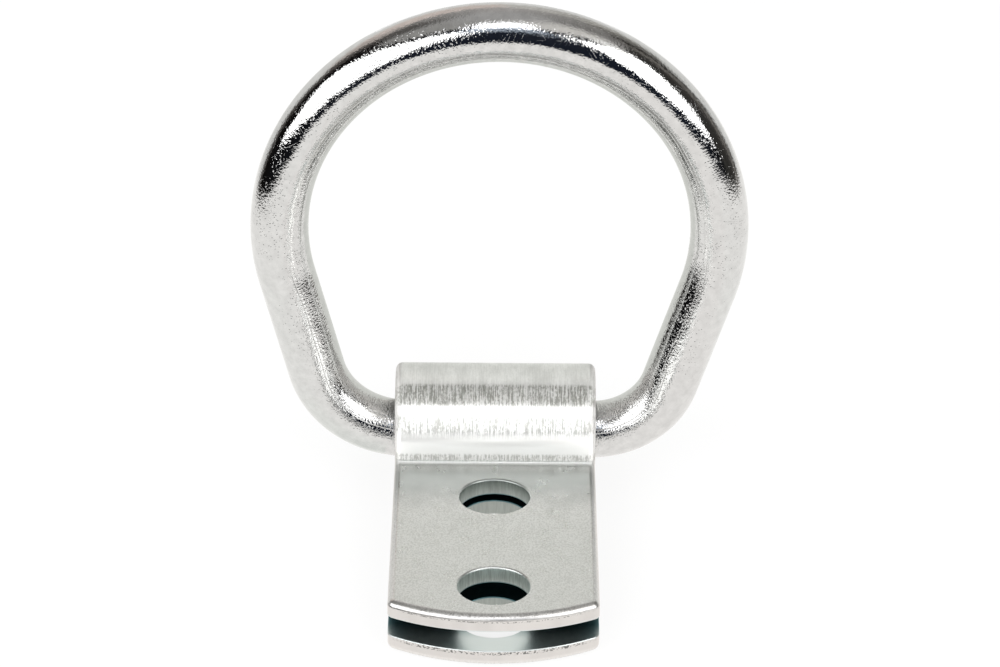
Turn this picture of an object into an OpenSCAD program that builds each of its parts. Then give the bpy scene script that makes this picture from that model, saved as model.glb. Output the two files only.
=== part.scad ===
// Tie-down eye: a lashing ring of round bar that swings in a clip folded from one strip of sheet.
// The underside of the clip's lower leg is at z = 0, and the origin lies midway between the two
// bolt holes there. The legs run towards -Y, the ring's straight bar runs along X in the clip's
// loop, and the ring stands upright.

/* [Bar of the ring] */
// Diameter of the round bar
bar_d = 10; // [6:0.5:14]
// Height of the crown's centre above the axis of the straight bar
crown_rise = 39.9; // [35:0.1:60]
// Centreline radius of the crown
crown_r = 37.7; // [30:0.1:43]
// How far the crown's middle lies to the right of the clip's middle
crown_shift = 0.5; // [-2:0.1:2]
// Centreline radius of the left bottom corner
left_corner_r = 16; // [12:0.1:24]
// Centreline radius of the right bottom corner
right_corner_r = 14.1; // [12:0.1:24]
// How far inside the loop's left end the bar begins to bend
left_bend_inset = 1.7; // [0:0.1:2]
// How far inside the loop's right end the bar begins to bend
right_bend_inset = 0.4; // [0:0.1:2]

/* [Clip] */
// Width of the strip
strip_w = 35; // [24:0.5:44]
// Thickness of the sheet
sheet_t = 3; // [2:0.1:4]
// Bore of the loop over the bar's diameter
loop_slack = 4; // [2:0.1:6]
// Clearance under the bar where it sits at the bottom of the loop
bar_seat = 0.2; // [0.1:0.05:0.5]
// Radius of the crease where the loop turns into the upper leg
crease_r = 0.6; // [0.3:0.1:2]
// Gap between the two legs next to the loop
neck_gap = 1; // [0.4:0.1:2]
// Angle by which the legs open towards their free ends
leg_spread = 3.2; // [0:0.1:5]
// Radius in plan of the legs' rounded free ends
end_r = 35; // [28:1:80]
// Roll on the outer edges of the sheet, left by the blanking die
edge_roll = 1.2; // [0.2:0.1:1.6]

/* [Bolt holes] */
// Diameter of the two holes in each leg
hole_d = 12; // [6:0.5:14]
// Distance between the two holes
hole_pitch = 30; // [20:0.5:40]
// Distance from the loop's middle to the nearer hole
hole_to_loop = 21.4; // [20:0.1:30]
// Distance from the farther hole to the tip of the legs
hole_to_tip = 10; // [9:0.1:16]
// Roll on the rims of the holes, left by the punch
hole_roll = 0.4; // [0.1:0.1:0.6]

/* [Hidden] */
$fn = 96;

// How far a cutter runs past the face that it cuts
past = 1;
// Where a bend and a straight stretch join, one runs a little way into the other and is thinner
// by this much on every side, so that the two always grow together
seam = 0.02;
// How far a straight stretch of the bar runs into the bends at its ends
bar_lap = 0.4;
// Angle by which the crease runs into the loop and into the upper leg
crease_lap = 1.5;

// The loop: the lower leg's faces run tangent into its bottom
bore_r = (bar_d + loop_slack) / 2;
loop_r = bore_r + sheet_t;
loop_y = hole_pitch / 2 + hole_to_loop;
tip_y = -hole_pitch / 2 - hole_to_tip;
holes_y = [hole_pitch / 2, -hole_pitch / 2];

// The crease: its centre is outside the loop, and above the upper leg
crease_z = sheet_t + neck_gap + (crease_r + sheet_t) * cos(leg_spread);
crease_y = loop_y - sqrt(pow(loop_r + crease_r, 2) - pow(crease_z - loop_r, 2));
crease_turn = atan2(loop_r - crease_z, loop_y - crease_y);

// Where the upper leg's inner face begins
upper_y = crease_y - (crease_r + sheet_t) * sin(leg_spread);
upper_z = sheet_t + neck_gap;

// The ring's axis
bar_z = sheet_t + bar_seat + bar_d / 2;

// The ring in its own plane: x across, and height above the straight bar's axis
left_x = -(strip_w / 2 - left_bend_inset);
right_x = strip_w / 2 - right_bend_inset;
crown_c = [crown_shift, crown_rise];

// Distance along the upper leg at which the middle of its sheet is above a given y
function along_upper(y) = (upper_y + sheet_t / 2 * sin(leg_spread) - y) / cos(leg_spread);

// Distance along the lower leg at which a given y lies
function along_lower(y) = loop_y - y;

// Angle by which a side leans outwards, as the common tangent of its corner and the crown.
// Both are seen with the side to the right, so the left side's x is passed with its sign changed.
function lean(corner, corner_r, crown) =
    let (d = crown - corner)
    acos((corner_r - crown_r) / norm(d)) - atan2(d[1], d[0]);

right_lean = lean([right_x, right_corner_r], right_corner_r, crown_c);
left_lean = lean([-left_x, left_corner_r], left_corner_r, [-crown_c[0], crown_c[1]]);

// Point at an angle on a circle
function on_circle(c, r, a) = c + r * [cos(a), sin(a)];

// Cross-section of the strip: thickness along x from its inner face, width along y.
// The two edges of its outer face are rolled.
module strip_section(inset = 0) {
    difference() {
        translate([inset, inset - strip_w / 2]) square([sheet_t - 2 * inset, strip_w - 2 * inset]);
        for (side = [0, 1])
            mirror([0, side])
                translate([sheet_t - inset - edge_roll, strip_w / 2 - inset - edge_roll])
                    difference() {
                        square(edge_roll + past);
                        circle(edge_roll);
                    }
    }
}

// Turns a shape drawn in x and y, with its axis along z, so that its axis runs along the world's x
module across() {
    rotate([90, 0, 90]) children();
}

// The loop: the strip bent round in the side plane with its outer face outwards, from the lower
// leg to the crease
module loop() {
    translate([0, loop_y, loop_r]) across() rotate(-90)
        rotate_extrude(angle = 270 + crease_turn) translate([bore_r, 0]) strip_section();
}

// The crease: the strip bent back the other way, from the upper leg to the loop
module crease() {
    from = -90 - leg_spread - crease_lap;
    translate([0, crease_y, crease_z]) across() rotate(from)
        rotate_extrude(angle = crease_turn + crease_lap - from)
            translate([crease_r + sheet_t, 0]) mirror([1, 0]) strip_section(seam);
}

// What the blanking die leaves away at the tip of a leg: all that is outside the end's circle,
// and the roll on its outer edge
module tip_cutter(reach) {
    sweep = 2 * asin((strip_w / 2 + past) / (end_r + past));
    translate([0, reach - end_r]) rotate(90 - sweep / 2) rotate_extrude(angle = sweep) {
        translate([end_r, -past]) square([end_r, sheet_t + 2 * past]);
        translate([end_r - edge_roll, sheet_t - edge_roll]) difference() {
            square(edge_roll + past);
            circle(edge_roll);
        }
    }
}

// A punched hole with a rolled rim on the outer face
module hole_cutter() {
    translate([0, 0, -past]) cylinder(d = hole_d, h = sheet_t + 2 * past);
    rotate_extrude() difference() {
        translate([0, sheet_t - hole_roll]) square([hole_d / 2 + hole_roll, hole_roll + past]);
        translate([hole_d / 2 + hole_roll, sheet_t - hole_roll]) circle(hole_roll);
    }
}

// A straight leg along +Y, with its inner face at z = 0 and its outer face up
module leg(reach, holes) {
    difference() {
        rotate([-90, -90, 0]) linear_extrude(reach) strip_section();
        tip_cutter(reach);
        for (at = holes) translate([0, at, 0]) hole_cutter();
    }
}

// The clip: lower leg, loop, crease and upper leg are one folded strip
module strap() {
    color([0.78, 0.79, 0.78]) {
        translate([0, loop_y, sheet_t]) rotate([180, 0, 0])
            leg(along_lower(tip_y), [for (y = holes_y) along_lower(y)]);
        loop();
        crease();
        translate([0, upper_y, upper_z]) rotate([-leg_spread, 0, 0]) rotate([0, 0, 180])
            leg(along_upper(tip_y), [for (y = holes_y) along_upper(y)]);
    }
}

// A straight stretch of the bar between two points of the ring's plane
module bar_line(from, to) {
    run = to - from;
    translate([from[0], from[1], 0]) rotate([0, 90, atan2(run[1], run[0])])
        translate([0, 0, -bar_lap]) cylinder(r = bar_d / 2 - seam, h = norm(run) + 2 * bar_lap);
}

// A bent stretch of the bar round a centre
module bar_bend(c, r, from, to) {
    translate([c[0], c[1], 0]) rotate(from)
        rotate_extrude(angle = to - from) translate([r, 0]) circle(d = bar_d);
}

// The ring: the straight bar in the loop, two corners, two leaning sides and the crown
module ring() {
    left_c = [left_x, left_corner_r];
    right_c = [right_x, right_corner_r];
    left_at = 180 + left_lean;
    right_at = -right_lean;
    color([0.82, 0.83, 0.82]) translate([0, loop_y, bar_z]) rotate([90, 0, 0]) {
        bar_line([left_x, 0], [right_x, 0]);
        bar_bend(right_c, right_corner_r, -90, right_at);
        bar_line(on_circle(right_c, right_corner_r, right_at), on_circle(crown_c, crown_r, right_at));
        bar_bend(crown_c, crown_r, right_at, left_at);
        bar_line(on_circle(crown_c, crown_r, left_at), on_circle(left_c, left_corner_r, left_at));
        bar_bend(left_c, left_corner_r, left_at, 270);
    }
}

strap();
ring();
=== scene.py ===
"""A tie-down eye: a lashing ring of round bar in a clip folded from one strip of sheet steel, both
bright zinc-plated, on a pale floor under soft studio light. The CAD frame gives the sizes and carries
the motion."""

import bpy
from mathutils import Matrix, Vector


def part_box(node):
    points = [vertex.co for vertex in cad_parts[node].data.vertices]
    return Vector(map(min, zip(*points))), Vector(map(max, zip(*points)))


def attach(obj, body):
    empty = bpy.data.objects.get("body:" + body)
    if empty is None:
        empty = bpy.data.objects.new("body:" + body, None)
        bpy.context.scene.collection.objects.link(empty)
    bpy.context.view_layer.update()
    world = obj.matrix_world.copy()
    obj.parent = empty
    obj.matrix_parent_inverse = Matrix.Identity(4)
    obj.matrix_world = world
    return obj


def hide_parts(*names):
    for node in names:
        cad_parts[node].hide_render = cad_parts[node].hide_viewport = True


bl_info = {
    "name": "Tie-down eye",
    "version": (1, 0, 0),
    "blender": (4, 5, 0),
    "location": "View3D > Sidebar > Tie-down eye",
    "description": "Makes a zinc-plated lashing ring and its folded clip on the CAD frame",
    "category": "Add Mesh",
}

import math

import bpy
import numpy as np
from mathutils import Matrix

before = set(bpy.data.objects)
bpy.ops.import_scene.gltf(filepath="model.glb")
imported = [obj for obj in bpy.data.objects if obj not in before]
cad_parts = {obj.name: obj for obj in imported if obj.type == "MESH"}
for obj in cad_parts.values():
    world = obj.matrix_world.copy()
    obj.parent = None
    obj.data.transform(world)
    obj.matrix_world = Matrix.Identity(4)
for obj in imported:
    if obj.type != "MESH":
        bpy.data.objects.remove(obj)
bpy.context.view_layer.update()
RING_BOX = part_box("ring")
STRAP_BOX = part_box("strap")

MM = 0.001


# Colour and nodes

def linear(code):
    """An sRGB hex colour as linear red, green, blue and alpha: below 0.04045 a share is divided by
    12.92, and above it 0.055 is added, the sum is divided by 1.055 and raised to the power 2.4."""
    shares = [int(code[k:k + 2], 16) / 255 for k in (1, 3, 5)]
    return tuple(c / 12.92 if c <= 0.04045 else ((c + 0.055) / 1.055) ** 2.4 for c in shares) + (1.0,)


def add(tree, kind, sockets=None, **settings):
    """Adds a node with its settings. A socket's value is either a number or colour, or a link's
    source."""
    node = tree.nodes.new(kind)
    for name, value in settings.items():
        setattr(node, name, value)
    for name, value in (sockets or {}).items():
        if isinstance(value, bpy.types.NodeSocket):
            tree.links.new(value, node.inputs[name])
        else:
            node.inputs[name].default_value = value
    return node


# What calc's words stand for: the kind of node, its settings, the sockets that the values go to in
# their order, and the output that is passed on. A step goes smoothly from 0 under the second value to
# 1 over the third, or from the fourth value to the fifth. A mix is its second value where the first
# is 0, and its third value where the first is 1.
WORDS = {
    "times": ("ShaderNodeMath", {"operation": "MULTIPLY"}, (0, 1), 0),
    "plus": ("ShaderNodeMath", {"operation": "ADD"}, (0, 1), 0),
    "minus": ("ShaderNodeMath", {"operation": "SUBTRACT"}, (0, 1), 0),
    "greater": ("ShaderNodeMath", {"operation": "MAXIMUM"}, (0, 1), 0),
    "without sign": ("ShaderNodeMath", {"operation": "ABSOLUTE"}, (0,), 0),
    "sine": ("ShaderNodeMath", {"operation": "SINE"}, (0,), 0),
    "arcsine": ("ShaderNodeMath", {"operation": "ARCSINE"}, (0,), 0),
    "arctangent": ("ShaderNodeMath", {"operation": "ARCTAN2"}, (0, 1), 0),
    "share": ("ShaderNodeMapRange", {}, ("Value", "From Min", "From Max"), "Result"),
    "step": ("ShaderNodeMapRange", {"interpolation_type": "SMOOTHSTEP"},
             ("Value", "From Min", "From Max", "To Min", "To Max"), "Result"),
    "mix": ("ShaderNodeMix", {"data_type": "RGBA"}, ("Factor", 6, 7), 2),
    "mix light": ("ShaderNodeMixShader", {}, ("Fac", 1, 2), 0),
}


def calc(word, *values):
    """Adds the node that a word stands for to the tree that the values are in, and passes on its
    output. Times and plus take any number of values, with one node after another."""
    tree = next(value.id_data for value in values if isinstance(value, bpy.types.NodeSocket))
    while word in ("times", "plus") and len(values) > 2:
        values = (calc(word, *values[:2]), *values[2:])
    kind, settings, sockets, output = WORDS[word]
    return add(tree, kind, dict(zip(sockets, values)), **settings).outputs[output]


def blank_material(name):
    """A new material with an empty node tree."""
    material = bpy.data.materials.new(name)
    material.use_nodes = True
    material.node_tree.nodes.clear()
    return material


def window(value, low, high, soft):
    """1 where the value lies between low and high, 0 outside, with edges that are soft over twice
    soft."""
    return calc("times", calc("step", value, low - soft, low + soft),
                calc("step", value, high - soft, high + soft, 1.0, 0.0))


def grain(vector, size_mm, stretch=(1, 1, 1), detail=2.0, roughness=0.5):
    """Noise about 0.5 whose lumps are size_mm across, and longer by stretch along each axis of a
    vector in mm."""
    scale = tuple(1 / (size_mm * k) for k in stretch)
    scaled = add(vector.id_data, "ShaderNodeMapping", {"Vector": vector, "Scale": scale}).outputs["Vector"]
    return add(vector.id_data, "ShaderNodeTexNoise", {"Vector": scaled, "Scale": 1.0, "Detail": detail,
                                                      "Roughness": roughness}).outputs["Fac"]


def ramp(value, low, high, stops):
    """A colour that follows a value between low and high through a list of stops (value, colour)."""
    node = add(value.id_data, "ShaderNodeValToRGB", {"Fac": calc("share", value, low, high)})
    elements = node.color_ramp.elements
    while len(elements) < len(stops):
        elements.new(1.0)
    for element, (at, code) in zip(elements, stops):
        element.position = (at - low) / (high - low)
        element.color = linear(code)
    return node.outputs["Color"]


# Meshes

def grid_quads(rows, columns, first=0):
    """Corner numbers of the quads of a grid whose points are numbered row by row."""
    at = np.arange(rows * columns).reshape(rows, columns) + first
    return np.stack([at[:-1, :-1], at[1:, :-1], at[1:, 1:], at[:-1, 1:]], -1).reshape(-1, 4)


def make_piece(name, points, normals, quads, attributes):
    """A smooth mesh object with its own exact normals. Quads that turn away from their normals are
    turned round."""
    corners = points[quads]
    faced = np.cross(corners[:, 2] - corners[:, 0], corners[:, 3] - corners[:, 1])
    away = (faced * normals[quads].sum(1)).sum(1) < 0
    quads = np.where(away[:, None], quads[:, ::-1], quads)
    mesh = bpy.data.meshes.new(name)
    mesh.vertices.add(len(points))
    mesh.vertices.foreach_set("co", points.astype(np.float32).ravel())
    mesh.loops.add(quads.size)
    mesh.loops.foreach_set("vertex_index", quads.astype(np.int32).ravel())
    mesh.polygons.add(len(quads))
    mesh.polygons.foreach_set("loop_start", np.arange(0, quads.size, 4, dtype=np.int32))
    mesh.polygons.foreach_set("use_smooth", np.ones(len(quads), bool))
    mesh.update(calc_edges=True)
    for key, values in attributes.items():
        vector = values.ndim == 2
        layer = mesh.attributes.new(key, "FLOAT_VECTOR" if vector else "FLOAT", "POINT")
        layer.data.foreach_set("vector" if vector else "value", values.astype(np.float32).ravel())
    mesh.normals_split_custom_set_from_vertices(normals.astype(np.float32))
    piece = bpy.data.objects.new(name, mesh)
    bpy.context.scene.collection.objects.link(piece)
    return piece


def arc(centre, radius, start, end, count):
    """Points and outward directions on an arc: centre + radius (cos a, sin a), a going from start to
    end."""
    a = np.linspace(start, end, count)
    out = np.stack([np.cos(a), np.sin(a)], 1)
    return np.asarray(centre) + radius * out, out


# The ring

# Rows of its mesh in a corner, in a straight stretch and in the crown
CORNER_ROWS = 70
STRAIGHT_ROWS = 50
CROWN_ROWS = 300


def ring_line(p):
    """The ring's closed centreline in its own plane: the straight bar, two corners, two sides that
    are the common tangents of a corner and the crown, and the crown. It gives points (x, height),
    outward directions, the distance along the line, and the distances at which the crown begins and
    ends."""
    crown = np.array([p.crown_shift, p.crown_rise])
    corners = [(np.array([p.right_x, p.right_corner_r]), p.right_corner_r, 1.0),
               (np.array([p.left_x, p.left_corner_r]), p.left_corner_r, -1.0)]
    leans = []
    for centre, radius, side in corners:
        gap = (crown - centre) * (side, 1)
        leans.append(np.arccos((radius - p.crown_r) / np.hypot(*gap)) - np.arctan2(gap[1], gap[0]))
    right, left = -leans[0], np.pi + leans[1]
    pieces = [arc(corners[0][0], p.right_corner_r, -np.pi / 2, right, CORNER_ROWS),
              arc(crown, p.crown_r, right, left, CROWN_ROWS),
              arc(corners[1][0], p.left_corner_r, left, 1.5 * np.pi, CORNER_ROWS)]
    points, out = [], []
    share = np.linspace(0, 1, STRAIGHT_ROWS + 2)[1:-1, None]
    for k, (here, direction) in enumerate(pieces):
        following = pieces[(k + 1) % len(pieces)][0][0]
        points += [here, here[-1] + (following - here[-1]) * share]
        out += [direction, np.repeat(direction[-1:], STRAIGHT_ROWS, 0)]
    points, out = np.vstack(points), np.vstack(out)
    along = np.r_[0, np.cumsum(np.hypot(*np.diff(points, axis=0).T))]
    crown_start = CORNER_ROWS + STRAIGHT_ROWS
    return points, out, along, (along[crown_start], along[crown_start + CROWN_ROWS])


def ring_surface(p, around=96):
    """The round bar carried along its centreline: point = line + r (sin f * outward - cos f * Y),
    with f from -180 to 180 degrees, so that f = 0 faces the legs. Its pattern vector is that bar
    straightened out, in mm: distance along, r sin f and r cos f."""
    line, out, along, crown = ring_line(p)
    f = np.linspace(-np.pi, np.pi, around, endpoint=False)
    radius = p.bar_d / 2
    outward = np.stack([out[:, 0], np.zeros(len(out)), out[:, 1]], 1)[:, None]
    normals = np.sin(f)[None, :, None] * outward - np.cos(f)[None, :, None] * np.array([0.0, 1.0, 0.0])
    centre = np.stack([line[:, 0], np.full(len(line), p.axis_y), line[:, 1] + p.axis_z], 1)[:, None]
    points = centre + radius * normals
    straight = np.broadcast_arrays(along[:, None], radius * np.sin(f), radius * np.cos(f))
    straight = np.stack(straight, -1) / MM
    rows = len(line)
    numbers = np.arange(rows * around).reshape(rows, around)
    following, beside = np.roll(numbers, -1, 0), np.roll(numbers, -1, 1)
    quads = np.stack([numbers, following, np.roll(following, -1, 1), beside], -1).reshape(-1, 4)
    return (points.reshape(-1, 3), normals.reshape(-1, 3), quads, straight.reshape(-1, 3),
            (crown[0] / MM, crown[1] / MM))


# The clip

def clip_path(p):
    """The strip's middle surface in the side plane, as a function of the distance s along it: a
    straight lower leg up to s = 0, the loop of radius loop_r to s1, the crease of radius crease_r
    bent the other way to s2, and the straight upper leg. The function gives, for an array of s, the
    place (y, z), the direction of travel and the direction that the outer face looks in. With it come
    s1, s2, and two functions that give the s of a place y on the lower leg and on the upper one."""
    middle = p.sheet_t / 2
    loop_r = p.bore_r + middle
    outer_r = p.bore_r + p.sheet_t
    crease_r = p.crease_r + middle
    centre = np.array([p.loop_y, outer_r])
    height = p.sheet_t + p.neck_gap + (p.crease_r + p.sheet_t) * math.cos(p.leg_spread)
    apart = math.sqrt((outer_r + p.crease_r) ** 2 - (height - outer_r) ** 2)
    crease = np.array([p.loop_y - apart, height])
    turn = math.atan2(outer_r - height, p.loop_y - crease[0])
    s1 = loop_r * (1.5 * math.pi + turn)
    s2 = s1 + crease_r * (turn + math.pi / 2 + p.leg_spread)

    def place(s):
        s = np.asarray(s, float)
        b = np.clip(s, 0, s1) / loop_r - math.pi / 2
        g = turn - (np.clip(s, s1, s2) - s1) / crease_r
        on_loop, on_crease = np.stack([np.cos(b), np.sin(b)], -1), np.stack([np.cos(g), np.sin(g)], -1)
        first = (s <= s1)[..., None]
        at = np.where(first, centre + loop_r * on_loop, crease + crease_r * on_crease)
        out = np.where(first, on_loop, -on_crease)
        travel = np.stack([-out[..., 1], out[..., 0]], -1)
        beyond = np.minimum(s, 0) + np.maximum(s - s2, 0)
        return at + beyond[..., None] * travel, travel, out

    start = crease[0] - (p.crease_r + p.sheet_t) * math.sin(p.leg_spread)

    def lower(y):
        return y - p.loop_y

    def upper(y):
        return s2 + (start + middle * math.sin(p.leg_spread) - y) / math.cos(p.leg_spread)

    return place, s1, s2, lower, upper


def tip_curve(p, tip, sign, inset):
    """The rounded end of a leg in the flat strip, from one side to the other: a corner arc, the end's
    arc and the other corner arc, all moved in by the inset, and their outward directions. Sign is +1
    for the end with the greatest s and -1 for the other."""
    half, corner = p.strip_w / 2, p.corner_r
    along = math.sqrt((p.end_r - corner) ** 2 - (half - corner) ** 2) - p.end_r
    open_a = math.atan2(half - corner, along + p.end_r)
    corner_points, end_points = 9, 49
    parts = [arc((along, half - corner), corner - inset, math.pi / 2, open_a, corner_points),
             arc((-p.end_r, 0), p.end_r - inset, open_a, -open_a, end_points),
             arc((along, corner - half), corner - inset, -open_a, -math.pi / 2, corner_points)]
    points = np.vstack([parts[0][0], parts[1][0][1:-1], parts[2][0]])
    out = np.vstack([parts[0][1], parts[1][1][1:-1], parts[2][1]])
    return points * (sign, 1) + (tip, 0), out * (sign, 1)


def clip_surface(p):
    """The strip in its flat state, as points (s, x, t) with t the height over its inner face, and
    then bent along its path. Each face is a grid between its holes, and rings of a grid round each
    hole: point = rim (1 - w) + edge w. The walls are a profile of rolled edge and straight cut,
    carried round the outline and round each hole: point = outline - inset * outward."""
    place, s1, s2, lower, upper = clip_path(p)
    half_pitch = p.hole_pitch / 2
    holes = [lower(-half_pitch), lower(half_pitch), upper(half_pitch), upper(-half_pitch)]
    tips = [lower(p.tip_y), upper(p.tip_y)]
    # the grid round a hole ends midway between the holes, and this far from the hole towards the loop
    near = half_pitch * 0.6
    cuts = [lower(0), lower(half_pitch) + near, upper(half_pitch) - near, upper(0)]
    corner_s = [tip_curve(p, tips[k], sign, 0)[0][0, 0] for k, sign in ((0, -1), (1, 1))]

    # places along the strip's straight sides, from stretch to stretch: close together in the bends
    stops = [corner_s[0], cuts[0], cuts[1], 0, s1, s2, cuts[2], cuts[3], corner_s[1]]
    counts = (9, 13, 5, 190, 40, 5, 13, 9)
    side = [np.linspace(start, end, count) for start, end, count in zip(stops, stops[1:], counts)]
    sides = np.concatenate([side[0]] + [part[1:] for part in side[1:]])
    middle_rows = np.concatenate([side[2]] + [part[1:] for part in side[3:6]])
    beside_holes = [side[k] for k in (0, 1, 6, 7)]

    flat, normals, quads, kinds, across_lines, total = [], [], [], [], [], 0
    rims = {}

    def put(points, directions, kind, along=(0.0, 1.0)):
        nonlocal total
        kinds.append(np.full(points.shape[0] * points.shape[1], kind))
        across_lines.append(np.broadcast_to(along, points.shape[:2] + (2,)).reshape(-1, 2))
        rows, columns = points.shape[:2]
        flat.append(points.reshape(-1, 3))
        normals.append(np.broadcast_to(directions, points.shape).reshape(-1, 3))
        quads.append(grid_quads(rows, columns, total))
        total += rows * columns

    def with_t(points, t):
        return np.concatenate([points, np.full(points.shape[:-1] + (1,), t)], -1)

    def face(t, inset, rim, look):
        """One face of the strip at the height t, inset from the outline and from the holes' rims."""
        half = p.strip_w / 2 - inset
        columns = 15
        across = np.linspace(-half, half, columns)
        look = np.array([0.0, 0.0, look])

        def line(s):
            return np.stack([np.full(columns, s), across], 1)

        put(with_t(np.stack(np.meshgrid(middle_rows, across, indexing="ij"), -1), t), look, 0)
        ends = [tip_curve(p, tips[0], -1, inset)[0], tip_curve(p, tips[1], 1, inset)[0]]
        for k, (hole, rows) in enumerate(zip(holes, beside_holes)):
            plus_side, minus_side = (np.stack([rows, np.full(len(rows), x)], 1) for x in (half, -half))
            if k == 0:
                parts = [plus_side[::-1], ends[0], minus_side, line(rows[-1])]
            elif k == 3:
                parts = [plus_side, ends[1], minus_side[::-1], line(rows[0])]
            else:
                parts = [plus_side, line(rows[-1])[::-1], minus_side[::-1], line(rows[0])]
            edge = np.vstack([parts[0]] + [part[1:] for part in parts[1:]])
            centre = np.array([hole, 0.0])
            # both faces take the same directions, so that the hole's wall meets them point by point
            away = edge - centre
            away = rims.setdefault(k, away / np.hypot(*away.T)[:, None])
            round_hole = centre + (p.hole_d / 2 + rim) * away
            w = np.array([0, 0.12, 0.3, 0.6, 1])[:, None, None]
            put(with_t(round_hole * (1 - w) + edge * w, t), look, 0)

    face(p.sheet_t, p.edge_roll, p.hole_roll, 1.0)
    face(0.0, p.burr_r, p.burr_r, -1.0)

    # the outline: up one side, round a tip, down the other side, and round the other tip
    tip_low, out_low = tip_curve(p, tips[0], -1, 0)
    tip_high, out_high = tip_curve(p, tips[1], 1, 0)
    half = np.full(len(sides), p.strip_w / 2)
    outline = np.vstack([np.stack([sides, half], 1), tip_high[1:], np.stack([sides, -half], 1)[::-1][1:],
                         tip_low[::-1][1:]])
    straight = np.tile([0.0, 1.0], (len(sides), 1))
    outward = np.vstack([straight, out_high[1:], -straight[1:], out_low[::-1][1:]])

    def profile(roll, burr):
        """Inset, height, and direction (out, up) of a wall's profile, from the outer face to the
        inner face: a quarter circle of radius roll, a straight cut, and a quarter circle of radius
        burr."""
        a = np.linspace(0, math.pi / 2, 9)
        b = a[2::2]
        straight = 4
        inset = np.r_[roll - roll * np.sin(a), np.zeros(straight), burr - burr * np.cos(b)]
        shoulder = p.sheet_t - roll
        t = np.r_[shoulder + roll * np.cos(a), np.linspace(shoulder, burr, straight + 1)[1:],
                  burr - burr * np.sin(b)]
        out = np.r_[np.sin(a), np.ones(straight), np.cos(b)]
        up = np.r_[np.cos(a), np.zeros(straight), -np.sin(b)]
        return inset, t, out, up

    def wall(edge, outward, roll, burr, kind):
        """A profile carried round a closed edge."""
        inset, t, out, up = profile(roll, burr)
        points = edge[None] - inset[:, None, None] * outward[None]
        points = np.concatenate([points, np.broadcast_to(t[:, None, None], points.shape[:2] + (1,))], -1)
        directions = np.concatenate([out[:, None, None] * outward[None],
                                     np.broadcast_to(up[:, None, None], points.shape[:2] + (1,))], -1)
        put(points, directions, kind, np.stack([-outward[:, 1], outward[:, 0]], 1)[None])

    wall(outline, outward, p.edge_roll, p.burr_r, 1)
    for k, hole in enumerate(holes):
        wall(np.array([hole, 0.0]) + p.hole_d / 2 * rims[k], -rims[k], p.hole_roll, p.burr_r, 2)

    flat, normals, quads, kinds, lines = (np.vstack(flat), np.vstack(normals), np.vstack(quads),
                                          np.concatenate(kinds), np.vstack(across_lines))
    # points that meet are joined, and quads with two joined corners are left out
    _, kept, number = np.unique(np.round(flat / MM, 4), axis=0, return_index=True, return_inverse=True)
    flat, normals, kinds, lines = flat[kept], normals[kept], kinds[kept], lines[kept]
    quads = number.ravel()[quads]
    quads = quads[(np.diff(np.sort(quads, 1), axis=1) > 0).all(1)]

    at, travel, out = place(flat[:, 0])
    lift = (flat[:, 2] - p.sheet_t / 2)[:, None]
    bent = at + lift * out
    points = np.stack([flat[:, 1], bent[:, 0], bent[:, 1]], 1)
    turned = normals[:, :1] * travel + normals[:, 2:] * out
    turned = np.stack([normals[:, 1], turned[:, 0], turned[:, 1]], 1)
    turned /= np.linalg.norm(turned, axis=1, keepdims=True)
    cut = 1 - np.abs(normals[:, 2])
    lines = np.stack([lines[:, 1], lines[:, 0] * travel[:, 0], lines[:, 0] * travel[:, 1]], 1)
    marks = {"flat_sheet": flat / MM, "sheared": cut * (kinds == 1), "punched": cut * (kinds == 2),
             "across_lines": lines}
    return points, turned, quads, marks, s2 / MM, (tips[0] / MM, tips[1] / MM)


# Finishes

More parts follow.
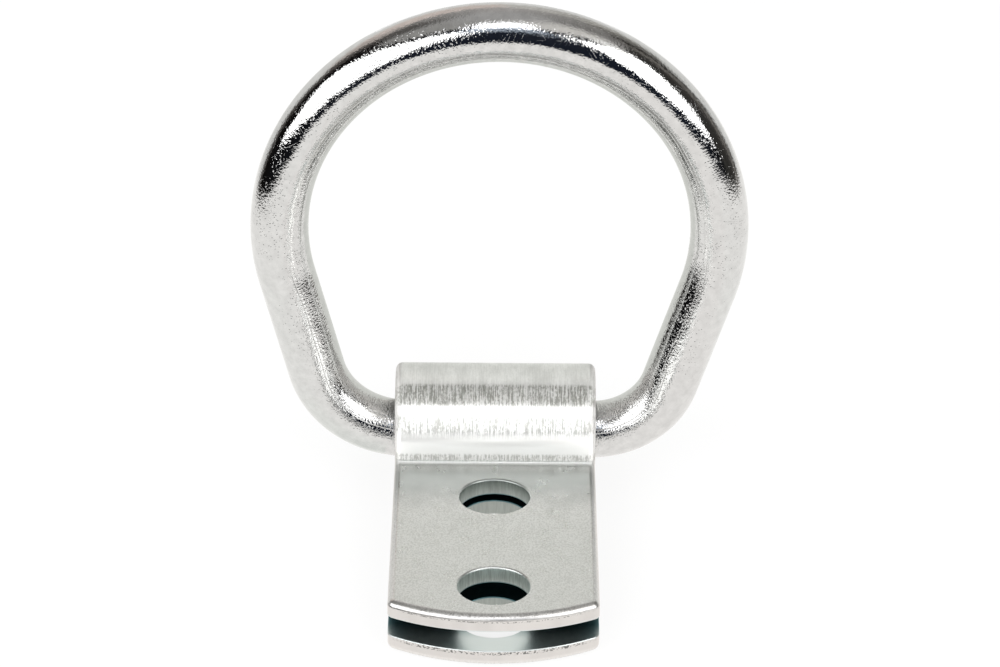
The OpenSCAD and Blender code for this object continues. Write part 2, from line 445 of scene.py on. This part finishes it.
def bar_zinc(crown):
    """Bright zinc electroplate on drawn round bar: a mirror with a fine orange peel, which is deeper
    on the sides than on the crown, fine pits in patches, thin grooves from the die, and handling
    scratches."""
    material = blank_material("bright_zinc_on_drawn_bar")
    tree = material.node_tree
    vector = add(tree, "ShaderNodeAttribute", attribute_name="straight_bar").outputs["Vector"]
    along, side, front = add(tree, "ShaderNodeSeparateXYZ", {"Vector": vector}).outputs
    angle = calc("arctangent", side, front)
    degrees = calc("times", angle, 180 / math.pi)
    bar_r, pit_spacing = 5.0, 0.5
    skin = add(tree, "ShaderNodeCombineXYZ", {"X": along, "Y": calc("times", angle, bar_r)}).outputs[0]

    # the orange peel is what breaks the edges of the reflections into specks
    depth = calc("step", window(along, crown[0], crown[1], 7.0), 0.0, 1.0, 1.6, 0.95)
    peel = grain(vector, 6.0, detail=1.0)
    fine = calc("times", grain(vector, 0.37, detail=1.0), depth)
    patches = calc("step", grain(vector, 7.0, (2, 1, 1), detail=3.0), 0.44, 0.6, 0.25, 1.0)
    pits = add(tree, "ShaderNodeTexVoronoi", {"Vector": vector, "Scale": 1 / pit_spacing,
                                              "Randomness": 1.0})
    pitted = calc("times", calc("step", pits.outputs["Distance"], 0.1, 0.34, 1.0, 0.0), patches)

    # the die's grooves keep their place round the bar, and the others wander a little
    shift = calc("times", calc("plus", grain(vector, 16.0, detail=1.0), -0.5), 22.0)
    wander = calc("plus", degrees, shift)
    grooves = calc("plus", window(degrees, -50.9, -49.4, 0.5), window(wander, -22.5, -21.5, 0.6),
                   window(wander, -29.6, -28.8, 0.5))
    scratches = calc("plus", *(scratch(skin, turn) for turn in (0.3, 1.2, -0.7)))

    # each part of the relief with its height in mm
    relief = ((peel, 0.12), (fine, 0.033), (pitted, -0.027), (grooves, -0.04), (scratches, -0.006))
    height = calc("plus", *(calc("times", part, high) for part, high in relief))
    bump = add(tree, "ShaderNodeBump", {"Strength": 1.0, "Distance": MM, "Height": height})
    tone = grain(vector, 1.6, detail=5.0, roughness=0.62)
    tone = ramp(tone, 0.0, 1.0, [(0.3, "#CECECD"), (0.7, "#DEDEDD")])
    rough = calc("step", grain(vector, 4.0, (3, 1, 1), detail=4.0), 0.35, 0.7, 0.035, 0.085)
    surface = add(tree, "ShaderNodeBsdfPrincipled", {
        "Base Color": tone, "Metallic": 1.0, "Roughness": rough, "Normal": bump.outputs["Normal"]})
    add(tree, "ShaderNodeOutputMaterial", {"Surface": surface.outputs["BSDF"]})
    return material


def scratch(skin, turn):
    """Sparse thin lines that run at an angle over a skin in mm: the places where a stretched noise
    passes 0.5, kept only in patches."""
    turned = add(skin.id_data, "ShaderNodeMapping", {"Vector": skin, "Rotation": (0.0, 0.0, turn),
                                                     "Location": (turn * 40, 0.0, 0.0)}).outputs["Vector"]
    lines = window(grain(turned, 1.6, (9, 1, 1), detail=1.0), 0.4985, 0.5015, 0.0035)
    return calc("times", lines, calc("step", grain(turned, 3.0), 0.5, 0.6))


# Bands of the loop where the bending marks are denser, or sparser where the last number is below zero.
# They follow the darker and brighter bands of the loop's reflection, so they are partly real marks and
# partly painted shade and painted highlight: from and to in mm along the strip, the softness of their
# ends, and how much stronger the marks are there than elsewhere
SCORED_AND_SHADED_BANDS = ((29.9, 33.3, 0.35, 0.8), (34.9, 37.6, 0.5, 0.6),
          (38.4, 40.8, 0.3, -0.18), (41.0, 43.0, 0.3, 0.5))


def sheet_zinc(bend_end, tips):
    """Bright zinc electroplate on cold-rolled sheet: satin with a fine grain. Bending drew scratches round
    the loop, which spread its reflections sideways. Their density follows the loop's darker and brighter
    bands, which is partly painted shade and painted highlight, and the loop has a paler tone than the
    legs, which is painted light. Round the crease and down the upper leg the plate is painted greyer as
    shade. The punch and the blanking die left fine lines through the thickness on every cut face, and the
    hole walls carry painted shade, darker on the lower leg and near the crease. Between the legs the inner
    faces are painted dark teal as shade, pale only at the lips. All lengths are in mm, and those along the
    strip start where the loop does."""
    material = blank_material("bright_zinc_on_rolled_sheet")
    tree = material.node_tree
    vector = add(tree, "ShaderNodeAttribute", attribute_name="flat_sheet").outputs["Vector"]
    cut = add(tree, "ShaderNodeAttribute", attribute_name="sheared").outputs["Fac"]
    punched = add(tree, "ShaderNodeAttribute", attribute_name="punched").outputs["Fac"]
    along, _, height = add(tree, "ShaderNodeSeparateXYZ", {"Vector": vector}).outputs

    # the loop, all that lies beyond its start, the painted shade at the crease, and the inner face
    on_loop = window(along, 0.0, bend_end - 0.6, 0.6)
    beyond = calc("step", along, 0.0, 1.0)
    clouds = grain(vector, 3.0, (1.5, 1, 4), detail=4.0, roughness=0.6)
    mottle = calc("plus", calc("times", grain(vector, 5.0, detail=3.0), 8.0), -4.0)
    reach = calc("plus", along, mottle)
    # painted shade: the plate is darkened round the crease and down the upper leg, where shade falls in
    # the bend
    crease_shade = calc("times", calc("plus", calc("step", along, bend_end - 3.9, bend_end - 2.9, 0.0, 0.62),
                                calc("step", along, bend_end + 0.5, bend_end + 3.2, 0.0, 0.38)),
                  calc("step", reach, bend_end + 5.5, bend_end + 16.5, 1.0, 0.0))
    inner = calc("times", calc("step", height, 0.1, 0.3, 1.0, 0.0), calc("minus", 1.0, on_loop))
    any_cut = calc("plus", cut, punched)

    # the plate's own grain is finer than this, and is drawn as coarse as it needs to show
    fine = grain(vector, 0.3, (1.2, 1, 8), detail=1.0)
    drawn = grain(vector, 0.22, (14, 1, 20), roughness=0.6)
    pecked = grain(vector, 0.26, (1.6, 1, 20), roughness=0.6)
    streaks = calc("step", calc("plus", calc("times", drawn, 0.6), calc("times", pecked, 0.4)), 0.42, 0.58)
    # painted shade and highlight: the density of the marks, and so the loop's darker colour, follows the
    # bands above
    scored_and_shaded = calc("plus", 0.15, *(calc("times", window(along, low, high, soft), more)
                                  for low, high, soft, more in SCORED_AND_SHADED_BANDS))
    marks = calc("times", streaks, on_loop, scored_and_shaded)
    shear_lines = calc("times", grain(vector, 0.28, (1, 1, 30)), any_cut)
    orange_peel = grain(vector, 0.6, (1.3, 1, 8), detail=0.0)
    relief = ((orange_peel, 0.004), (marks, 0.03), (shear_lines, 0.014))
    bumps = calc("plus", *(calc("times", part, high) for part, high in relief))
    bump = add(tree, "ShaderNodeBump", {"Strength": 1.0, "Distance": MM, "Height": bumps})

    # nicks on the cut faces, mostly at the tips, where the edges rub
    at_tips = calc("plus", calc("step", along, tips[0] + 2.5, tips[0] + 4.0, 1.0, 0.15),
                   calc("step", along, tips[1] - 4.0, tips[1] - 2.5, 0.15, 1.0), -0.15)
    edges = calc("plus",
                 calc("times", window(height, 0.1, 0.75, 0.15), calc("step", along, 0.0, 1.0, 1.0, 0.0)),
                 calc("times", window(height, 1.68, 1.9, 0.08), calc("times", beyond, 0.8)),
                 calc("times", window(height, 2.5, 2.95, 0.1), 0.4))
    nicked = calc("step", grain(vector, 0.26, (1.6, 1.6, 1)), 0.5, 0.58)
    nicks = calc("times", calc("step", cut, 0.0, 0.2), nicked, calc("times", edges, at_tips))

    # the holes' walls with the punch's ripples and with painted shade, darker on the lower leg and near
    # the crease, and the inner faces, painted dark as shade between the legs and pale only at the lips
    # painted shade: the hole walls are darker on the lower leg, under the upper one, and near the crease
    # than on the rest of the upper leg
    hole_wall_shade = calc("mix", beyond, linear("#ABB1AC"), linear("#DDE5E1"))
    hole_wall_shade = calc("mix", window(along, bend_end, bend_end + 20.0, 1.0), hole_wall_shade, linear("#BAC2BE"))
    ripples = calc("step", grain(vector, 0.3, (1, 1, 12), detail=3.0, roughness=0.7), 0.4, 0.6, 0.0, 0.35)
    lips = calc("plus", calc("step", along, tips[0] + 3.5, tips[0] + 8.5, 1.0, 0.0),
                calc("step", along, tips[1] - 8.5, tips[1] - 3.5))
    # painted shade and reflection: the inner faces between the legs are dark teal where the gap lies in
    # shade, and pale at the lips
    gap_shade = calc("mix", lips, linear("#5C7E83"), linear("#ECF2F1"))

    # the plate's tone, and each layer of colour over it with its share; the loop's paler layer against the
    # legs' darker tone is painted light and shade
    # a cloudy darker grey over the loop from 16 to 33.2 mm along
    cloudy_grey_band = calc("times", window(along, 16.0, 33.2, 0.5), calc("step", clouds, 0.3, 0.7, 0.22, 0.42))
    colour = ramp(calc("plus", calc("times", clouds, 0.25), calc("times", fine, 0.75)), 0.0, 1.0,
                  [(0.36, "#CDCDCA"), (0.62, "#E5E5E3")])
    for share, layer in ((on_loop, linear("#F4F4F2")), (cloudy_grey_band, linear("#A6A7A2")),
                         (calc("times", marks, 0.9), linear("#8E8F88")), (crease_shade, linear("#A5A8A5")),
                         (cut, linear("#ECE9E6")), (nicks, linear("#7D7E7C")), (punched, hole_wall_shade),
                         (calc("times", punched, ripples), linear("#8C928E")), (inner, gap_shade)):
        colour = calc("mix", share, colour, layer)

    rough = calc("plus", calc("step", clouds, 0.3, 0.7, 0.27, 0.33), calc("times", on_loop, 0.06),
                 calc("times", marks, 0.08), calc("times", any_cut, 0.1))
    rough = calc("plus", calc("times", rough, calc("minus", 1.0, inner)), calc("times", inner, 0.3))
    metal = calc("plus", 1.0, calc("times", on_loop, -0.28))
    aslant = add(tree, "ShaderNodeAttribute", attribute_name="across_lines").outputs["Vector"]
    aslant = add(tree, "ShaderNodeVectorTransform", {"Vector": aslant}, vector_type="VECTOR",
                 convert_from="OBJECT", convert_to="WORLD").outputs[0]
    surface = add(tree, "ShaderNodeBsdfPrincipled", {
        "Base Color": colour, "Metallic": metal, "Roughness": rough, "Normal": bump.outputs["Normal"],
        "Anisotropic": calc("greater", on_loop, any_cut), "Tangent": aslant})
    add(tree, "ShaderNodeOutputMaterial", {"Surface": surface.outputs["BSDF"]})
    return material


# The set

def studio_paper():
    """Pale matt paper on the floor. It shows white to the camera, and keeps a part of its own
    shading, so that the object's shadow stays."""
    material = blank_material("pale_studio_paper")
    tree = material.node_tree
    seen = add(tree, "ShaderNodeLightPath").outputs
    direct = calc("plus", seen["Is Camera Ray"], seen["Is Glossy Ray"], seen["Is Transmission Ray"])
    paper = add(tree, "ShaderNodeBsdfDiffuse", {"Color": linear("#F4F4F3")}).outputs["BSDF"]
    white = add(tree, "ShaderNodeEmission", {"Color": linear("#FFFFFF"), "Strength": 1.0})
    shown = calc("mix light", calc("times", direct, 0.8), paper, white.outputs["Emission"])
    add(tree, "ShaderNodeOutputMaterial", {"Surface": shown})
    return material


def studio_world(scene):
    """The room round the object: white where the camera looks past it, an even pale light for matt
    surfaces, and for the metal what a studio shows it. That is a pale table, whose edge lies about 16
    degrees under the horizon and is a little tilted, walls that are dark in front and at the sides
    and paler behind, a pale backdrop low down behind, and a grey ceiling with a panel to the right
    and a bright patch in front. Rise is the angle over the horizon, and turn is the angle from the
    front to the right, both in degrees."""
    world = bpy.data.worlds.new("studio_room")
    scene.world = world
    world.use_nodes = True
    tree = world.node_tree
    tree.nodes.clear()
    ray = add(tree, "ShaderNodeTexCoord").outputs["Generated"]
    to_right, to_back, up = add(tree, "ShaderNodeSeparateXYZ", {"Vector": ray}).outputs
    rise = calc("times", calc("arcsine", up), 180 / math.pi)
    turn = calc("times", calc("arctangent", to_right, calc("times", to_back, -1.0)), 180 / math.pi)

    table = ramp(rise, -90, 0, [(-90, "#CBCDCA"), (-60, "#DADBD8"), (-35, "#DFDEDC"), (0, "#DEDCDA")])
    walls = ramp(turn, -180, 180, [
        (-180, "#BBB0AA"), (-145, "#BFB4AE"), (-138, "#A29A95"), (-127, "#A29A95"), (-121, "#4A4644"),
        (-110, "#484543"), (-104, "#0E0C0B"), (-30, "#101115"), (-10, "#171B24"), (22, "#171B24"),
        (66, "#101012"), (75, "#32312F"), (84, "#2A2927"), (100, "#3A3836"), (105, "#65625E"),
        (110, "#6A6763"), (115, "#2A2826"), (121, "#2A2826"), (126, "#5E5C59"), (140, "#6E6C68"),
        (150, "#9A9893"), (180, "#B4B2AE")])
    ceiling = ramp(turn, -180, 180, [
        (-180, "#9C9997"), (-140, "#7C7A78"), (-118, "#54514F"), (-98, "#4E4C4A"), (-75, "#848381"),
        (-16, "#8E8D8B"), (16, "#C0BEBB"), (62, "#BEBCB8"), (84, "#8A8886"), (100, "#6E6C6A"),
        (150, "#868482"), (180, "#9C9997")])
    colour = calc("mix", calc("step", rise, 43, 49), walls, ceiling)
    colour = calc("mix", calc("step", rise, 60, 80), colour, linear("#979695"))
    behind = calc("times", calc("step", calc("without sign", turn), 113, 127),
                  calc("step", rise, 12, 26, 1.0, 0.0))
    colour = calc("mix", behind, colour, linear("#C8C8C6"))
    tilt = calc("times", calc("sine", calc("times", turn, math.pi / 180)), -2.2)
    colour = calc("mix", calc("step", calc("plus", rise, tilt), -17.1, -15.5), table, colour)
    panel = calc("times", window(turn, 46, 68, 2.5), window(rise, 30, 51, 2.0))
    colour = calc("mix", panel, colour, linear("#E0DFDD"))
    ahead = window(turn, -13, 15, 1.5)
    fades = calc("times", calc("step", rise, 20, 44), calc("step", rise, 61, 65, 1.0, 0.0))
    colour = calc("mix", calc("times", ahead, fades), colour, linear("#B9C4D2"))
    brighter_than_white = (1.8, 1.8, 1.85, 1.0)
    colour = calc("mix", calc("times", ahead, window(rise, 41, 63, 1.5)), colour, brighter_than_white)

    seen = add(tree, "ShaderNodeLightPath").outputs
    even, shown, white = (
        add(tree, "ShaderNodeBackground", {"Color": light, "Strength": strength}).outputs[0]
        for light, strength in ((linear("#FFFFFF"), 0.9), (colour, 1.43), (linear("#FFFFFF"), 1.0)))
    lit = calc("mix light", seen["Is Glossy Ray"], even, shown)
    add(tree, "ShaderNodeOutputWorld", {"Surface": calc("mix light", seen["Is Camera Ray"], lit, white)})


def glowing(name, code, strength):
    """An even pale surface of its own light, for the pieces of the set that only the metal sees."""
    material = blank_material(name)
    tree = material.node_tree
    lit = add(tree, "ShaderNodeEmission", {"Color": linear(code), "Strength": strength})
    add(tree, "ShaderNodeOutputMaterial", {"Surface": lit.outputs["Emission"]})
    return material


def flat_piece(name, corners, material):
    """A flat piece of the set with four corners."""
    mesh = bpy.data.meshes.new(name)
    mesh.from_pydata(corners, [], [(0, 1, 2, 3)])
    mesh.materials.append(material)
    piece = bpy.data.objects.new(name, mesh)
    bpy.context.scene.collection.objects.link(piece)
    return piece


def reflector(name, corners, material):
    """A flat piece of the set that only the metal sees."""
    piece = flat_piece(name, corners, material)
    piece.visible_camera = piece.visible_diffuse = piece.visible_shadow = False


def stand(holder, right, up, back, place):
    """Puts a lamp or camera in its place, with its own axes along right, up and back."""
    rows = np.vstack([np.stack([right, up, back, place], 1), [0, 0, 0, 1]])
    holder.matrix_world = Matrix(rows.tolist())
    bpy.context.scene.collection.objects.link(holder)


def softbox(name, target, turn, rise, distance, width, height, radiance, mirrored):
    """A rectangular softbox that faces the target. Its power follows from the radiance that the metal
    shows: power = radiance * pi * area."""
    lamp = bpy.data.lights.new(name, "AREA")
    lamp.shape = "RECTANGLE"
    lamp.size, lamp.size_y = width, height
    lamp.energy = radiance * math.pi * width * height
    holder = bpy.data.objects.new(name, lamp)
    back = np.array([math.sin(turn) * math.cos(rise), -math.cos(turn) * math.cos(rise), math.sin(rise)])
    side = np.cross([0, 0, 1], back)
    side /= np.linalg.norm(side)
    holder.visible_camera, holder.visible_glossy = False, mirrored
    stand(holder, side, np.cross(back, side), back, target + distance * back)


# Settings

def length(name, description, default, low=0.0):
    """A length in metres, shown in the scene's unit."""
    return bpy.props.FloatProperty(name=name, description=description, default=default, min=low,
                                   unit="LENGTH", subtype="DISTANCE", precision=5)


class RingSettings(bpy.types.PropertyGroup):
    """Sizes of the ring, in its own plane"""
    bar_d: length("Bar diameter", "Diameter of the round bar", RING_BOX[1][1] - RING_BOX[0][1])
    crown_r: length("Crown radius", "Centreline radius of the crown", 37.7 * MM)
    crown_rise: length("Crown rise", "Height of the crown's centre above the straight bar", 39.9 * MM)
    crown_shift: length("Crown shift", "How far the crown's middle lies to the right", 0.5 * MM, -1.0)
    left_corner_r: length("Left corner radius", "Centreline radius of the left corner", 16 * MM)
    right_corner_r: length("Right corner radius", "Centreline radius of the right corner", 14.1 * MM)
    left_x: length("Left corner", "Where the left corner begins, across the clip", -15.8 * MM, -1.0)
    right_x: length("Right corner", "Where the right corner begins, across the clip", 17.1 * MM, -1.0)
    axis_y: length("Axis along the clip", "Place of the straight bar along the clip", 36.4 * MM, -1.0)
    axis_z: length("Axis height", "Height of the straight bar", 8.2 * MM)


class ClipSettings(bpy.types.PropertyGroup):
    """Sizes of the folded clip"""
    strip_w: length("Strip width", "Width of the strip", STRAP_BOX[1][0] - STRAP_BOX[0][0])
    sheet_t: length("Sheet thickness", "Thickness of the sheet", 3 * MM)
    bore_r: length("Loop bore radius", "Radius of the loop's bore", 7 * MM)
    crease_r: length("Crease radius", "Radius of the crease on the outer face", 0.6 * MM)
    neck_gap: length("Neck gap", "Gap between the legs next to the loop", 1 * MM)
    leg_spread: bpy.props.FloatProperty(name="Leg spread", description="Angle by which the legs open",
                                        default=math.radians(3.2), unit="ROTATION", subtype="ANGLE")
    loop_y: length("Loop place", "Place of the loop's axis along the clip", 36.4 * MM, -1.0)
    tip_y: length("Tip place", "Place of the legs' tips along the clip", -25 * MM, -1.0)
    end_r: length("End radius", "Radius in plan of the legs' ends", 35 * MM)
    corner_r: length("Corner radius", "Radius in plan where an end meets a side", 1.6 * MM)
    edge_roll: length("Edge roll", "Roll on the outer edges", 1.2 * MM)
    hole_d: length("Hole diameter", "Diameter of the bolt holes", 12 * MM)
    hole_pitch: length("Hole pitch", "Distance between a leg's two holes", 30 * MM)
    hole_roll: length("Hole roll", "Roll on the holes' rims", 0.4 * MM)
    burr_r: length("Inner edge radius", "Small radius on the edges of the inner face", 0.15 * MM)


class StageSettings(bpy.types.PropertyGroup):
    """Camera and lamps"""
    lens: bpy.props.FloatProperty(name="Lens", description="Focal length on a 36 mm wide sensor, in mm",
                                  default=146.757, subtype="DISTANCE_CAMERA")
    left_glow: bpy.props.FloatProperty(name="Left softbox", description="Radiance of the left softbox",
                                       default=2.4)
    right_glow: bpy.props.FloatProperty(name="Right softbox", description="Radiance of the right softbox",
                                        default=2.6)
    low_glow: bpy.props.FloatProperty(name="Low fill", description="Radiance of the low fill in front",
                                      default=41.0)


# Operators

class TIEDOWN_OT_ring(bpy.types.Operator):
    """Makes the ring on the CAD frame"""
    bl_idname = "tiedown.ring"
    bl_label = "Make the ring"

    def execute(self, context):
        points, normals, quads, straight, crown = ring_surface(context.scene.tiedown_ring)
        piece = make_piece("lashing_ring", points, normals, quads, {"straight_bar": straight})
        piece.data.materials.append(bar_zinc(crown))
        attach(piece, "ring")
        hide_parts("ring")
        return {"FINISHED"}


class TIEDOWN_OT_clip(bpy.types.Operator):
    """Makes the folded clip on the CAD frame"""
    bl_idname = "tiedown.clip"
    bl_label = "Make the clip"

    def execute(self, context):
        points, normals, quads, marks, bend_end, tips = clip_surface(context.scene.tiedown_clip)
        piece = make_piece("folded_clip", points, normals, quads, marks)
        piece.data.materials.append(sheet_zinc(bend_end, tips))
        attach(piece, "clip")
        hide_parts("strap")
        return {"FINISHED"}


class TIEDOWN_OT_stage(bpy.types.Operator):
    """Makes the floor, the room, the softboxes and the camera"""
    bl_idname = "tiedown.stage"
    bl_label = "Make the stage"

    def execute(self, context):
        scene = context.scene
        stage = scene.tiedown_stage
        scene.view_settings.view_transform = "Standard"
        half, floor_z = 4.0, -0.3 * MM
        corners = [(x * half, y * half, floor_z) for x, y in ((-1, -1), (1, -1), (1, 1), (-1, 1))]
        # the metal sees the set's own table in place of the floor
        flat_piece("floor", corners, studio_paper()).visible_glossy = False

        # a narrow card behind the ring, with a brighter top, and a table before it
        half, card_y, seam, top = 0.026, 0.0585, 0.079, 0.086
        for name, low, high, code, strength in (("support_card", 0.0, seam, "#C3C4C0", 1.5),
                                                ("support_card_top", seam, top, "#FFFFFF", 1.1)):
            corners = [(x, card_y, z) for x, z in ((-half, low), (half, low), (half, high), (-half, high))]
            reflector(name, corners, glowing("pale_" + name, code, strength))
        left, right, front, back = -0.02, 0.07, -0.28, 0.055
        edges = ((left, front), (right, front), (right, back), (left, back))
        corners = [(x, y, floor_z) for x, y in edges]
        reflector("table_ahead", corners, glowing("pale_table", "#DEDCDA", 1.43))
        studio_world(scene)

        # turn to the right and rise of each lamp in degrees, its distance, width and height, its
        # radiance, and whether the metal mirrors it
        target = np.array([0.0, 0.036, 0.05])
        for name, turn, rise, distance, width, height, radiance, mirrored in (
                ("softbox_left", -48.5, 21, 1.0, 1.37, 0.7, stage.left_glow, True),
                ("softbox_right", 47.5, 21, 1.0, 0.73, 0.72, stage.right_glow, True),
                ("low_fill", 0.0, -2, 0.45, 0.3, 0.06, stage.low_glow, False)):
            softbox(name, target, math.radians(turn), math.radians(rise), distance, width, height,
                    radiance, mirrored)

        # the camera's axes, and where it stands from the foot of the loop along them, in mm
        right = np.array([0.999973, 0.003697, 0.006333])
        ahead = np.array([0.0, 0.863614, -0.504168])
        right -= ahead * (right @ ahead)
        right /= np.linalg.norm(right)
        up = np.cross(right, ahead)
        loop_foot = np.array([0.0, 36.4, 0.0])
        to_right, to_up, distance = 0.8968, 23.7978, 723.22
        place = loop_foot + to_right * right + to_up * up - distance * ahead
        camera = bpy.data.cameras.new("camera")
        camera.sensor_fit, camera.sensor_width, camera.lens = "HORIZONTAL", 36.0, stage.lens
        camera.clip_start = 0.01
        scene.camera = bpy.data.objects.new("camera", camera)
        stand(scene.camera, right, up, -ahead, place * MM)
        return {"FINISHED"}


class TIEDOWN_PT_panel(bpy.types.Panel):
    """Lists the pieces and their sizes"""
    bl_idname = "TIEDOWN_PT_panel"
    bl_label = "Tie-down eye"
    bl_space_type = "VIEW_3D"
    bl_region_type = "UI"
    bl_category = "Tie-down eye"

    def draw(self, context):
        scene = context.scene
        for operator, settings in ((TIEDOWN_OT_ring, scene.tiedown_ring),
                                   (TIEDOWN_OT_clip, scene.tiedown_clip),
                                   (TIEDOWN_OT_stage, scene.tiedown_stage)):
            box = self.layout.box()
            box.operator(operator.bl_idname)
            for name in settings.__annotations__:
                box.prop(settings, name)


CLASSES = (RingSettings, ClipSettings, StageSettings, TIEDOWN_OT_ring, TIEDOWN_OT_clip, TIEDOWN_OT_stage,
           TIEDOWN_PT_panel)


def register():
    for cls in CLASSES:
        bpy.utils.register_class(cls)
    bpy.types.Scene.tiedown_ring = bpy.props.PointerProperty(type=RingSettings)
    bpy.types.Scene.tiedown_clip = bpy.props.PointerProperty(type=ClipSettings)
    bpy.types.Scene.tiedown_stage = bpy.props.PointerProperty(type=StageSettings)


def unregister():
    del bpy.types.Scene.tiedown_stage
    del bpy.types.Scene.tiedown_clip
    del bpy.types.Scene.tiedown_ring
    for cls in reversed(CLASSES):
        bpy.utils.unregister_class(cls)


def main():
    register()
    bpy.ops.tiedown.ring()
    bpy.ops.tiedown.clip()
    bpy.ops.tiedown.stage()
    bpy.context.view_layer.update()


if __name__ == "__main__":
    main()
